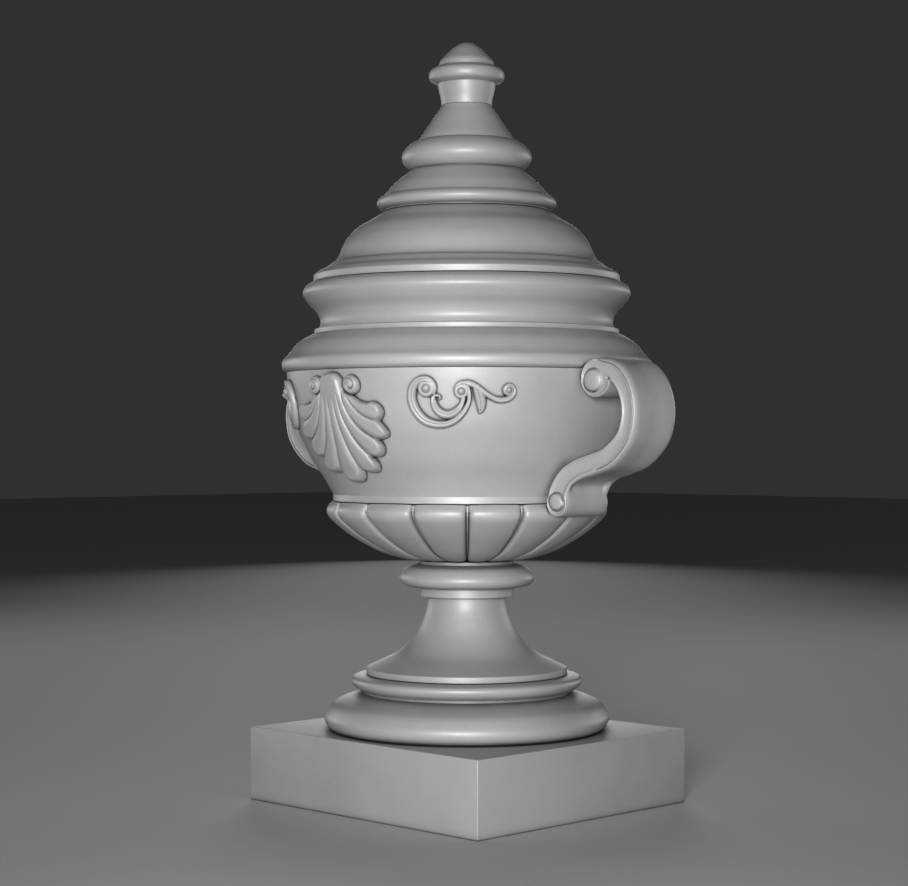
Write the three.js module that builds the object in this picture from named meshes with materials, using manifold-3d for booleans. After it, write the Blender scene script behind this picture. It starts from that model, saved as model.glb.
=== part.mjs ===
// Lidded garden urn in cast stone: a rectangular plinth, a turned foot, a gadrooned bowl with two
// scrolled strap handles, shell and scroll appliqués, and a tiered lid with a finial.
// Millimetres, +Z up, origin at the middle of the plinth's underside. The handles lie along X and
// the shells along Y. The hidden fixings are steel rods, nuts, washers and dowels.
import * as THREE from 'three';
import { mergeVertices } from 'three/addons/utils/BufferGeometryUtils.js';
import Module from 'manifold-3d';

const wasm = await Module();
wasm.setup();

// ---- driving dimensions ----
const GAP = 0.3;                       // bed joint between two pieces
const PLINTH = { x: 379, y: 350, top: 86.7, recess: 32, recessTop: 40 };
const FOOT = { torus: 168.8, fillet: 121.4, top: 134, ring: 136.8, ringTop: 151.8 };
const STEM = { disc: 118.9, discTop: 159.3, waist: 46.3, collar: 55.7, collarFrom: 243.8, top: 255 };
const KNOP = { radius: 80, middle: 265, neck: 55.8, from: 281.8, top: 286.3 };
const BOWL = { rim: 166.8, top: 356.4, floor: 312, gadroons: 16, crease: 7 };
const WALL = { thickness: 24, band: 158.5, bandTop: 364, top: 508 };
const NECK = { bead: 219, fillet: 180.6, filletTop: 559.2, lip: 194, top: 614.3, mouth: 150 };
const LID = { plate: 181.5, plateTop: 636.9, dome: 160, domeTop: 699, tier: 106.2, tierTop: 746.8 };
const SPIRE = { knop: 77, neckFrom: 825, neck: 30, ring: 44.8, capFrom: 871, top: 900 };
const SPIGOT = { inner: 126, outer: 147, bottom: 600 };
const SEAT = { inner: 153, outer: 169, height: 2.2 };
const ROD = { radius: 8, bore: 9, from: 12, top: 340 };
const ROD_WASHER = { radius: 28, height: 4 };
const ROD_NUT = { corners: 13.5, height: 13.4 };
const LID_ROD = { radius: 6, bore: 6.8, from: 650, top: 886 };
const LID_WASHER = { radius: 24, height: 3.2 };
const LID_NUT = { corners: 11, height: 10.2 };
const LID_CEILING = 668;               // underside of the dome, where the lid's washer bears
const HANDLE = {
  width: 72,
  edge: 5,
  bulge: 4.5,
  topRoll: [236.3, 495.6, 18.2],
  footRoll: [174.5, 355.5, 11],
};
const DOWEL = { radius: 5, hole: 5.3, heights: [494, 366], from: [192, 141], to: [240, 178] };
const SHELL_RELIEF = 10;
const SCROLL_RELIEF = 11;
const ROUND = 32;                      // facets round a turned piece
const SMALL = 20;                      // facets round a small one

// ---- materials ----
const finish = (color, roughness, metalness) =>
  new THREE.MeshStandardMaterial({ color, roughness, metalness });
const stone = () => finish(0xa3a3a1, 0.55, 0);
const steel = () => finish(0x8d9094, 0.35, 1);
const rubber = () => finish(0x2b2b2b, 0.9, 0);

const group = new THREE.Group();

function add(name, geometry, material) {
  const mesh = new THREE.Mesh(geometry, material);
  mesh.name = name;
  group.add(mesh);
  return mesh;
}

// ---- solids ----

// Turns a closed profile of [radius, height] corners about Z; the outside runs upwards.
function turned(profile, facets = ROUND) {
  const corners = [...profile];
  const [first] = corners;
  if (first[0] > 0) corners.push(first);
  const points = corners.map(([r, z]) => new THREE.Vector2(r, z));
  return new THREE.LatheGeometry(points, facets).rotateX(Math.PI / 2);
}

// Extrudes an outline drawn in X and Z along Y, centred on the plane Y = 0.
function slab(shape, depth, options = {}) {
  const plain = { depth, bevelEnabled: false, curveSegments: 7 };
  const geometry = new THREE.ExtrudeGeometry(shape, { ...plain, ...options });
  return geometry.translate(0, 0, -depth / 2).rotateX(Math.PI / 2);
}

function solid(geometry) {
  const bare = geometry.clone();
  bare.deleteAttribute('normal');
  bare.deleteAttribute('uv');
  const welded = mergeVertices(bare, 1e-3);
  const index = welded.index.array;
  const triangles = [];
  for (let i = 0; i < index.length; i += 3) {
    const [a, b, c] = [index[i], index[i + 1], index[i + 2]];
    if (a !== b && b !== c && c !== a) triangles.push(a, b, c);
  }
  const vertProperties = new Float32Array(welded.attributes.position.array);
  const triVerts = new Uint32Array(triangles);
  return new wasm.Manifold(new wasm.Mesh({ numProp: 3, vertProperties, triVerts }));
}

function surface(body) {
  const mesh = body.getMesh();
  const geometry = new THREE.BufferGeometry();
  geometry.setAttribute('position', new THREE.BufferAttribute(new Float32Array(mesh.vertProperties), 3));
  geometry.setIndex(new THREE.BufferAttribute(new Uint32Array(mesh.triVerts), 1));
  return geometry;
}

// A round bar between two heights; with a hole it is a ring.
function bar(radius, from, to, facets = SMALL) {
  return turned([[0, from], [radius, from], [radius, to], [0, to]], facets);
}

function washer(radius, hole, from, to, facets = SMALL) {
  return turned([[hole, from], [radius, from], [radius, to], [hole, to]], facets);
}

// A bar lying along X at height z, for a dowel or the hole it sits in.
function crossBar(radius, fromX, toX, z) {
  const length = toX - fromX;
  const middle = (fromX + toX) / 2;
  const upright = new THREE.CylinderGeometry(radius, radius, length, 12);
  return upright.rotateZ(Math.PI / 2).translate(middle, 0, z);
}

function hexNut(acrossCorners, hole, from, to) {
  const shape = new THREE.Shape();
  for (let corner = 0; corner < 6; corner += 1) {
    const turn = corner * Math.PI / 3;
    const place = [acrossCorners * Math.cos(turn), acrossCorners * Math.sin(turn)];
    if (corner === 0) shape.moveTo(...place);
    else shape.lineTo(...place);
  }
  shape.closePath();
  shape.holes.push(new THREE.Path().absarc(0, 0, hole, 0, 2 * Math.PI, true));
  return new THREE.ExtrudeGeometry(shape, { depth: to - from, bevelEnabled: false, curveSegments: 10 })
    .translate(0, 0, from);
}

// ---- plinth ----
function plinth() {
  const block = new THREE.BoxGeometry(PLINTH.x, PLINTH.y, PLINTH.top).translate(0, 0, PLINTH.top / 2);
  const recess = bar(PLINTH.recess, -1, PLINTH.recessTop);
  const bore = bar(ROD.bore, -1, PLINTH.top + 1);
  return surface(solid(block).subtract(solid(recess)).subtract(solid(bore)));
}
add('plinth', plinth(), stone());

// ---- foot ----
add('foot_torus', turned([
  [ROD.bore, PLINTH.top + GAP],
  [159, PLINTH.top + GAP],
  [166.4, 93.5],
  [FOOT.torus, 100.5],
  [166, 107.5],
  [159, 117],
  [145, 124],
  [FOOT.fillet, 130],
  [FOOT.fillet, FOOT.top],
  [ROD.bore, FOOT.top],
]), stone());

add('foot_ring', turned([
  [ROD.bore, FOOT.top + GAP],
  [128.5, FOOT.top + GAP],
  [134.5, 139.3],
  [FOOT.ring, 143.6],
  [133.5, 149],
  [127, FOOT.ringTop - GAP],
  [ROD.bore, FOOT.ringTop - GAP],
]), stone());

// ---- stem: disc, trumpet and collar ----
add('stem', turned([
  [ROD.bore, FOOT.ringTop],
  [STEM.disc, FOOT.ringTop],
  [STEM.disc, STEM.discTop],
  [107, 165],
  [86.5, 174.5],
  [72.4, 185],
  [61.6, 197],
  [52.2, 216.3],
  [47.3, 231],
  [STEM.waist, STEM.collarFrom],
  [STEM.collar, STEM.collarFrom],
  [STEM.collar, STEM.top - GAP],
  [ROD.bore, STEM.top - GAP],
]), stone());

// ---- knop ----
add('knop', turned([
  [ROD.bore, STEM.top],
  [67, STEM.top],
  [76.5, 258],
  [KNOP.radius, KNOP.middle],
  [77.1, 271],
  [70.6, 278.2],
  [60, KNOP.from],
  [KNOP.neck, KNOP.from],
  [KNOP.neck, KNOP.top - GAP],
  [ROD.bore, KNOP.top - GAP],
]), stone());

// ---- gadrooned bowl: a turned bowl whose skin is pulled in along the creases between the lobes ----
const BOWL_SKIN = [
  [57, KNOP.top],
  [89.6, 292.7],
  [115.4, 302.5],
  [136, 314.5],
  [152, 326.3],
  [164, 338.3],
  [BOWL.rim, 346],
  [162.5, 355],
];
function gadroonBowl() {
  const geometry = turned([
    [ROD.bore, KNOP.top],
    ...BOWL_SKIN,
    [156, BOWL.top - GAP],
    [134, BOWL.top - GAP],
    [131, 343],
    [120, 329],
    [95, 317],
    [60, BOWL.floor],
    [ROD.bore, BOWL.floor],
  ], 3 * BOWL.gadroons);
  const position = geometry.attributes.position;
  for (let i = 0; i < position.count; i += 1) {
    const x = position.getX(i);
    const y = position.getY(i);
    const z = position.getZ(i);
    const radius = Math.hypot(x, y);
    const onSkin = ([r, height]) => Math.abs(height - z) < 0.01 && Math.abs(r - radius) < 0.01;
    if (!BOWL_SKIN.slice(1).some(onSkin)) continue;
    const lobe = Math.abs(Math.sin(Math.atan2(y, x) * BOWL.gadroons / 2));
    const pull = 1 - BOWL.crease * (1 - lobe) / radius;
    position.setXY(i, x * pull, y * pull);
  }
  return geometry;
}
add('gadroon_bowl', gadroonBowl(), stone());

// ---- body wall: the urn's open drum, with the blind holes for the handle dowels ----
const WALL_SKIN = [
  [WALL.band, BOWL.top],
  [WALL.band, WALL.bandTop],
  [161.5, 371],
  [169, 384],
  [175.5, 394.6],
  [182.8, 404],
  [190.1, 420],
  [200, 443],
  [207.8, 475],
  [213.2, WALL.top - GAP],
];
function bodyWall() {
  const inside = WALL_SKIN.slice(2).reverse().map(([r, z]) => [r - WALL.thickness, z]);
  let wall = solid(turned([
    ...WALL_SKIN,
    ...inside,
    [WALL.band - WALL.thickness, BOWL.top],
  ]));
  DOWEL.heights.forEach((z, i) => {
    const hole = crossBar(DOWEL.hole, DOWEL.from[i] - GAP, DOWEL.to[i], z);
    wall = wall.subtract(solid(hole));
    wall = wall.subtract(solid(hole.clone().rotateZ(Math.PI)));
  });
  return surface(wall);
}
add('body_wall', bodyWall(), stone());

// ---- shoulder and rim ----
add('shoulder', turned([
  [188, WALL.top],
  [213.2, WALL.top],
  [217.5, 511],
  [NECK.bead, 516],
  [217.5, 522],
  [213.5, 526],
  [206.2, 535.9],
  [196.3, 545.1],
  [184.5, 552.4],
  [NECK.fillet, 553],
  [NECK.fillet, NECK.filletTop - GAP],
  [152, NECK.filletTop - GAP],
  [168, 540],
]), stone());

add('rim', turned([
  [NECK.mouth, NECK.filletTop],
  [176, NECK.filletTop],
  [173, 568],
  [178.4, 579.5],
  [187.1, 588.9],
  [193.1, 598],
  [NECK.lip, 602.4],
  [190.5, 609.5],
  [184.5, NECK.top - GAP],
  [NECK.mouth, NECK.top - GAP],
]), stone());

// ---- seat ring: the loose packing the lid turns on ----
add('seat_ring', washer(SEAT.outer, SEAT.inner, NECK.top, NECK.top + SEAT.height, ROUND), rubber());

// ---- lid ----
add('lid_plate', turned([
  [SPIGOT.inner, SPIGOT.bottom],
  [SPIGOT.outer, SPIGOT.bottom],
  [SPIGOT.outer, NECK.top + GAP],
  [SEAT.inner - 1, NECK.top + GAP],
  [SEAT.inner - 1, NECK.top + SEAT.height + GAP],
  [SEAT.outer + 1, NECK.top + SEAT.height + GAP],
  [SEAT.outer + 1, NECK.top + GAP],
  [LID.plate, NECK.top + GAP],
  [LID.plate, 622.3],
  [178.5, 625.8],
  [168.5, 630.5],
  [162.5, LID.plateTop - GAP],
  [SPIGOT.inner, LID.plateTop - GAP],
]), stone());

add('lid_dome', turned([
  [SPIGOT.inner, LID.plateTop],
  [LID.dome, LID.plateTop],
  [152.5, 645],
  [147, 658],
  [140.2, 668.3],
  [129.9, 679.2],
  [113.4, 688.7],
  [97.5, LID.domeTop - GAP],
  [LID_ROD.bore, LID.domeTop - GAP],
  [LID_ROD.bore, LID_CEILING],
  [70, LID_CEILING],
  [106, 662],
  [121, 650],
]), stone());

add('lid_tier', turned([
  [LID_ROD.bore, LID.domeTop],
  [98, LID.domeTop],
  [104.5, 704],
  [LID.tier, 709],
  [103.5, 715],
  [96.5, 720],
  [88.3, 730.1],
  [78.9, 737.3],
  [67.5, LID.tierTop - GAP],
  [LID_ROD.bore, LID.tierTop - GAP],
]), stone());

add('lid_knop', turned([
  [LID_ROD.bore, LID.tierTop],
  [66, LID.tierTop],
  [74, 754],
  [SPIRE.knop, 762],
  [74, 770],
  [66.5, 777.5],
  [57, 785],
  [46.4, 800],
  [36.9, 814.3],
  [SPIRE.neck, SPIRE.neckFrom - GAP],
  [LID_ROD.bore, SPIRE.neckFrom - GAP],
]), stone());

add('finial', turned([
  [LID_ROD.bore, SPIRE.neckFrom],
  [SPIRE.neck, SPIRE.neckFrom],
  [31.3, 836],
  [34.3, 851],
  [40, 852],
  [SPIRE.ring, 860],
  [42, 868],
  [34, SPIRE.capFrom - GAP],
  [LID_ROD.bore, SPIRE.capFrom - GAP],
], SMALL), stone());

add('finial_cap', turned([
  [0, LID_ROD.top + GAP],
  [LID_ROD.bore, LID_ROD.top + GAP],
  [LID_ROD.bore, SPIRE.capFrom],
  [33, SPIRE.capFrom],
  [31.4, 878],
  [21.6, 888.5],
  [11, 896],
  [0, SPIRE.top],
], SMALL), stone());

// ---- handles: an S-shaped strap with a roll at each end, bedded against the wall ----

// An outline of a strap that follows a curve, with its own half-width at each of the curve's points.
function strap(route, halfWidths, steps) {
  const curve = new THREE.SplineCurve(route.map(([u, v]) => new THREE.Vector2(u, v)));
  const last = halfWidths.length - 1;
  const left = [];
  const right = [];
  for (let i = 0; i <= steps; i += 1) {
    const place = i / steps;
    const at = curve.getPoint(place);
    const along = curve.getTangent(place);
    const span = Math.min(Math.floor(place * last), last - 1);
    const half = THREE.MathUtils.lerp(halfWidths[span], halfWidths[span + 1], place * last - span);
    left.push(new THREE.Vector2(at.x - along.y * half, at.y + along.x * half));
    right.push(new THREE.Vector2(at.x + along.y * half, at.y - along.x * half));
  }
  return new THREE.Shape([...left, ...right.reverse()]);
}

function disc(u, v, radius) {
  return new THREE.Shape().absarc(u, v, radius, 0, 2 * Math.PI);
}

// Everything the handle is bedded on, swollen by the bed joint.
function bedding() {
  const bowl = [...BOWL_SKIN.slice(3), [166, BOWL.top]];
  const skin = [...bowl, ...WALL_SKIN.slice(1), [218, 511], [NECK.bead, 516]];
  const swollen = skin.map(([r, z]) => [r + GAP, z]);
  return solid(turned([[0, 314], ...swollen, [NECK.bead + GAP, 530], [0, 530]], ROUND));
}

function handle() {
  const bevel = {
    bevelEnabled: true,
    bevelSegments: 1,
    bevelSize: HANDLE.bulge,
    bevelThickness: HANDLE.edge,
    curveSegments: 8,
  };
  const depth = HANDLE.width - 2 * HANDLE.edge;
  const route = [
    [246, 506], [261, 499.5], [272, 487], [278.6, 470], [278.8, 452], [271, 429.5], [249, 410],
    [226.3, 402.4], [206, 396.5], [188, 385.5], [177, 368], [174.5, 356],
  ];
  const halfWidths = [7.5, 7.5, 7.5, 7.5, 7.5, 7.5, 8.8, 9.2, 9.2, 9.4, 10.5, 10.5];
  const band = solid(slab(strap(route, halfWidths, 16), depth, bevel));
  const topRoll = solid(slab(disc(...HANDLE.topRoll), depth, bevel));
  const footRoll = solid(slab(disc(...HANDLE.footRoll), depth, bevel));
  const pad = solid(crossBar(13, 204, 228, DOWEL.heights[0]));
  let casting = band.add(topRoll).add(footRoll).add(pad).subtract(bedding());
  DOWEL.heights.forEach((z, i) => {
    casting = casting.subtract(solid(crossBar(DOWEL.hole, DOWEL.from[i], DOWEL.to[i] + GAP, z)));
  });
  return surface(casting);
}
add('handle_right', handle(), stone());
add('handle_left', handle(), stone()).rotation.z = Math.PI;

DOWEL.heights.forEach((z, i) => {
  const place = i === 0 ? 'top' : 'foot';
  const dowel = crossBar(DOWEL.radius, DOWEL.from[i], DOWEL.to[i], z);
  add(`dowel_right_${place}`, dowel, steel());
  add(`dowel_left_${place}`, dowel.clone(), steel()).rotation.z = Math.PI;
});

// ---- appliqués: outlines drawn on the wall and kept between its skin and the top of the relief ----
function relief(outlines, height) {
  const skin = WALL_SKIN.slice(1);
  const outer = skin.map(([r, z]) => [r + height, z]);
  const inner = skin.map(([r, z]) => [r + GAP, z]).reverse();
  const jacket = solid(turned([...outer, ...inner]));
  const drawn = outlines.map((shape) => solid(slab(shape, 110).translate(0, -190, 0)));
  return drawn.reduce((whole, part) => whole.add(part)).intersect(jacket);
}

// The shell: a rounded hinge above, a curl on each side and nine lobes fanned out below.
function shellOutline() {
  const lobes = [[66, 462, 11.5], [67, 437, 11.5], [51, 411.5, 12], [32, 392, 12.5], [0, 380, 13]];
  const tips = [...lobes, ...lobes.slice(0, -1).reverse().map(([u, z, r]) => [-u, z, r])];
  const hinge = new THREE.Vector2(0, 482);
  const fan = tips.map(([u, z, r]) => {
    const tip = new THREE.Vector2(u, z);
    const back = hinge.clone().sub(tip).normalize();
    const round = tip.clone().addScaledVector(back, r * 0.8);
    return strap([[hinge.x, hinge.y], [round.x, round.y]], [8, r * 0.95], 1);
  });
  const rounds = tips.map(([u, z, r]) => {
    const back = hinge.clone().sub(new THREE.Vector2(u, z)).normalize();
    return disc(u + back.x * r, z + back.y * r, r);
  });
  const curls = [disc(29, 489.6, 11), disc(-29, 489.6, 11)];
  return [disc(0, 487.5, 16.5), ...curls, ...fan, ...rounds];
}

function shell() {
  return surface(relief(shellOutline(), SHELL_RELIEF));
}
add('shell_front', shell(), stone());
add('shell_back', shell(), stone()).rotation.z = Math.PI;

// The scroll: a big C with a curled head, an inner spray, and a stem with a leaf and a curled tail.
function scrollOutline(hand) {
  const side = (route) => route.map(([u, z]) => [hand * u, z]);
  const big = strap(side([[-36, 480], [-37, 489], [-45, 494.5], [-56, 491], [-61.5, 479], [-59, 464],
    [-47, 449.5], [-30, 445], [-14, 449.5], [-4, 459], [1, 470], [1, 483]]),
  [2, 2.5, 4, 5, 5.6, 5.6, 5.5, 4.4, 3.9, 3.3, 2.8, 2.4], 17);
  const inner = strap(side([[-36.5, 472], [-35, 464], [-27.5, 456.5], [-17, 456.3], [-8, 465],
    [-4.5, 474]]), [3, 4.4, 5.1, 5.1, 3.2, 2.9], 7);
  const stem = strap(side([[-5, 490.5], [4.5, 488.5], [14, 482], [25.5, 474.7], [37, 471.3], [48, 476],
    [51, 483]]), [2.4, 4, 3.6, 3.3, 3.6, 2.6, 1.8], 11);
  const leaf = strap(side([[6, 489], [12.5, 476], [14, 462], [12.3, 457]]), [2.5, 6.3, 4.2, 1.2], 4);
  const curls = [[-44.8, 484.3, 9.9], [-6.9, 481, 8.6], [44, 482.5, 7]];
  return [big, inner, stem, leaf, ...curls.map(([u, z, r]) => disc(hand * u, z, r))];
}

const SCROLLS = [
  { name: 'scroll_front_right', turn: 45, hand: 1 },
  { name: 'scroll_back_right', turn: 135, hand: -1 },
  { name: 'scroll_back_left', turn: 225, hand: 1 },
  { name: 'scroll_front_left', turn: 315, hand: -1 },
];
SCROLLS.forEach(({ name, turn, hand }) => {
  const piece = surface(relief(scrollOutline(hand), SCROLL_RELIEF));
  add(name, piece, stone()).rotation.z = THREE.MathUtils.degToRad(turn);
});

// ---- rod through the foot, clamping the plinth, foot, stem, knop and bowl ----
add('tie_rod', bar(ROD.radius, ROD.from, ROD.top, 16), steel());
const footSeat = PLINTH.recessTop - GAP;
const footNutTop = footSeat - ROD_WASHER.height - GAP;
const footNutBottom = footNutTop - ROD_NUT.height;
add('foot_washer', washer(ROD_WASHER.radius, ROD.bore, footSeat - ROD_WASHER.height, footSeat), steel());
add('foot_nut', hexNut(ROD_NUT.corners, ROD.radius + GAP, footNutBottom, footNutTop), steel());
const bowlSeat = BOWL.floor + GAP;
const bowlNutBottom = bowlSeat + ROD_WASHER.height + GAP;
const bowlNutTop = bowlNutBottom + ROD_NUT.height;
add('bowl_washer', washer(ROD_WASHER.radius, ROD.bore, bowlSeat, bowlSeat + ROD_WASHER.height), steel());
add('bowl_nut', hexNut(ROD_NUT.corners, ROD.radius + GAP, bowlNutBottom, bowlNutTop), steel());

// ---- rod through the lid, clamping the dome, tier, knop and finial under the cap ----
add('lid_rod', bar(LID_ROD.radius, LID_ROD.from, LID_ROD.top, 16), steel());
const lidSeat = LID_CEILING - GAP;
const lidNutTop = lidSeat - LID_WASHER.height - GAP;
const lidNutBottom = lidNutTop - LID_NUT.height;
add('lid_washer', washer(LID_WASHER.radius, LID_ROD.bore, lidSeat - LID_WASHER.height, lidSeat), steel());
add('lid_nut', hexNut(LID_NUT.corners, LID_ROD.radius + GAP, lidNutBottom, lidNutTop), steel());

export default group;
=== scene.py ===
import math
from bisect import bisect_right

import bmesh
import bpy
import numpy as np
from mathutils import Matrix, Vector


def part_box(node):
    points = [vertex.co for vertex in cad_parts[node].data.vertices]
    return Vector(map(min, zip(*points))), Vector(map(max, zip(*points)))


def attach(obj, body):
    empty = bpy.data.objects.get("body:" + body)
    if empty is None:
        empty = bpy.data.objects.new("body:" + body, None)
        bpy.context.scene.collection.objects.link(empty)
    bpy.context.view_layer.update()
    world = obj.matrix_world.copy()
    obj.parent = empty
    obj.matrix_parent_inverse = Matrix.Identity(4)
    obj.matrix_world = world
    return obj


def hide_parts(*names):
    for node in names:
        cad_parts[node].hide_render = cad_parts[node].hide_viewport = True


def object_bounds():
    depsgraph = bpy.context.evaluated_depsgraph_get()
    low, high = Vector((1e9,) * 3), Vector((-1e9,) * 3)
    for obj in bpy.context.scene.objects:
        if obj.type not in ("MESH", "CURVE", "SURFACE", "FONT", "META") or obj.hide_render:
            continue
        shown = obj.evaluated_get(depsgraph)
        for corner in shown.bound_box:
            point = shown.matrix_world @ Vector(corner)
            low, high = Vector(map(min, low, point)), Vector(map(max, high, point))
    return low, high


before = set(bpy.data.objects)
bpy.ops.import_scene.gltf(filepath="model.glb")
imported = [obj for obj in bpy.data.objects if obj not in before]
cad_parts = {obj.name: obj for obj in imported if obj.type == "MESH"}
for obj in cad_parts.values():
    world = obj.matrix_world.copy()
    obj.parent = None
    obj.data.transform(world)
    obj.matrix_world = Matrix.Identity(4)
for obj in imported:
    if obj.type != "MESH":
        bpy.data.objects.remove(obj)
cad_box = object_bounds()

import openvdb
from mathutils import Vector

# ---- Camera ----
# A long lens held level at just under half the urn's height, on the diagonal between the front shell
# and the right handle, a finger's breadth to the left of the axis.
height = cad_box[1][2] - cad_box[0][2]
VIEW_TURN = math.radians(45.02)
VIEW_DISTANCE = 2.7856 * height
VIEW_LEVEL = 0.472 * height
SIDE_STEP = 0.0167 * height
LENS = 83.7

lens = bpy.data.cameras.new("camera")
lens.lens = LENS
lens.sensor_width = 36
camera = bpy.data.objects.new("camera", lens)
camera.location = (
    VIEW_DISTANCE * math.sin(VIEW_TURN) - SIDE_STEP * math.cos(VIEW_TURN),
    -VIEW_DISTANCE * math.cos(VIEW_TURN) - SIDE_STEP * math.sin(VIEW_TURN),
    VIEW_LEVEL,
)
camera.rotation_euler = (math.radians(90), 0, VIEW_TURN)
bpy.context.collection.objects.link(camera)
bpy.context.scene.camera = camera

# ---- Studio ----
# A plain pale floor under the plinth, one soft light just behind and beside the camera, weaker ones
# round the sides and back, each with its spread narrowed, and a dim even backdrop.
FLOOR_SIZE = 24.0
BACKDROP = (0.067, 0.067, 0.0685, 1)
bpy.context.scene.view_settings.view_transform = "Standard"
bpy.context.scene.view_settings.gamma = 0.75


def soft_light(name, turn, distance, level, size, power, spread):
    lamp = bpy.data.lights.new(name, "AREA")
    lamp.shape = "DISK"
    lamp.size = size
    lamp.energy = power
    lamp.spread = math.radians(spread)
    holder = bpy.data.objects.new(name, lamp)
    angle = math.radians(turn)
    holder.location = (distance * math.sin(angle), -distance * math.cos(angle), level)
    aim = Vector((0, 0, 0.5 * height)) - holder.location
    holder.rotation_euler = aim.to_track_quat("-Z", "Y").to_euler()
    bpy.context.collection.objects.link(holder)


soft_light("key_light", 40, 3.4, 0.60, 1.0, 28, 70)
soft_light("left_light", 275, 3.8, 0.8, 2.0, 11, 100)
soft_light("right_light", 175, 3.8, 0.8, 2.0, 11, 100)
soft_light("back_light", 225, 5.0, 1.3, 2.6, 13, 80)

floor_mesh = bpy.data.meshes.new("floor")
half_floor = FLOOR_SIZE / 2
floor_corners = [(-half_floor, -half_floor, 0), (half_floor, -half_floor, 0),
                 (half_floor, half_floor, 0), (-half_floor, half_floor, 0)]
floor_mesh.from_pydata(floor_corners, [], [(0, 1, 2, 3)])
floor = bpy.data.objects.new("floor", floor_mesh)
bpy.context.collection.objects.link(floor)
floor_paint = bpy.data.materials.new("floor_paint")
floor_paint.use_nodes = True
floor_shader = floor_paint.node_tree.nodes["Principled BSDF"]
floor_shader.inputs["Base Color"].default_value = (0.55, 0.55, 0.545, 1)
floor_shader.inputs["Roughness"].default_value = 0.85
floor_mesh.materials.append(floor_paint)

sky = bpy.data.worlds.new("sky")
sky.use_nodes = True
sky_light = sky.node_tree.nodes["Background"]
sky_light.inputs["Color"].default_value = BACKDROP
bpy.context.scene.world = sky

# ---- Plinth ----
# A solid rectangular block of cast stone with sharp arrises, sawn faces and a round recess
# underneath for the nut of the rod. Everything above stands on it.
MM = 0.001
BLOCK_ARRIS = 0.9 * MM
RECESS_RADIUS = 32 * MM
RECESS_DEPTH = 40 * MM
# BLOCK_TONE is a little darker than the urn's STONE_TONE: painted shade for the block standing lowest and
# less lit.
BLOCK_TONE = (0.285, 0.285, 0.282, 1)


class Shade:
    """A socket of a material's nodes. Arithmetic on it adds Math nodes."""

    def __init__(self, tree, socket=None):
        self.tree = tree
        self.socket = socket

    def node(self, kind, settings=None, inputs=None, output=0):
        made = self.tree.nodes.new(kind)
        for name, value in (settings or {}).items():
            setattr(made, name, value)
        for name, value in (inputs or {}).items():
            if isinstance(value, Shade):
                self.tree.links.new(value.socket, made.inputs[name])
            else:
                made.inputs[name].default_value = value
        return Shade(self.tree, made.outputs[output] if made.outputs else None)

    def math(self, operation, *values):
        return self.node("ShaderNodeMath", {"operation": operation}, dict(enumerate(values)))

    def mix(self, first, second):
        colours = {0: self, 6: first, 7: second}
        return self.node("ShaderNodeMix", {"data_type": "RGBA"}, colours, 2)

    def ramp(self, low, high):
        limits = {"From Min": low, "From Max": high}
        look = {"interpolation_type": "SMOOTHSTEP"}
        return self.node("ShaderNodeMapRange", look, {"Value": self, **limits})

    def __add__(self, other):
        return self.math("ADD", self, other)

    def __radd__(self, other):
        return self.math("ADD", other, self)

    def __sub__(self, other):
        return self.math("SUBTRACT", self, other)

    def __rsub__(self, other):
        return self.math("SUBTRACT", other, self)

    def __mul__(self, other):
        return self.math("MULTIPLY", self, other)

    def __rmul__(self, other):
        return self.math("MULTIPLY", other, self)

    def __truediv__(self, other):
        return self.math("DIVIDE", self, other)


def tinted(tone, factor):
    return tuple(min(1.0, part * factor) for part in tone[:3]) + (1,)


def bare_finish(name):
    """A new material with only the object's own coordinates in it."""
    finish = bpy.data.materials.new(name)
    finish.use_nodes = True
    tree = finish.node_tree
    tree.nodes.clear()
    start = Shade(tree)
    place = start.node("ShaderNodeTexCoord", output="Object")
    return finish, start, place


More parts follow.
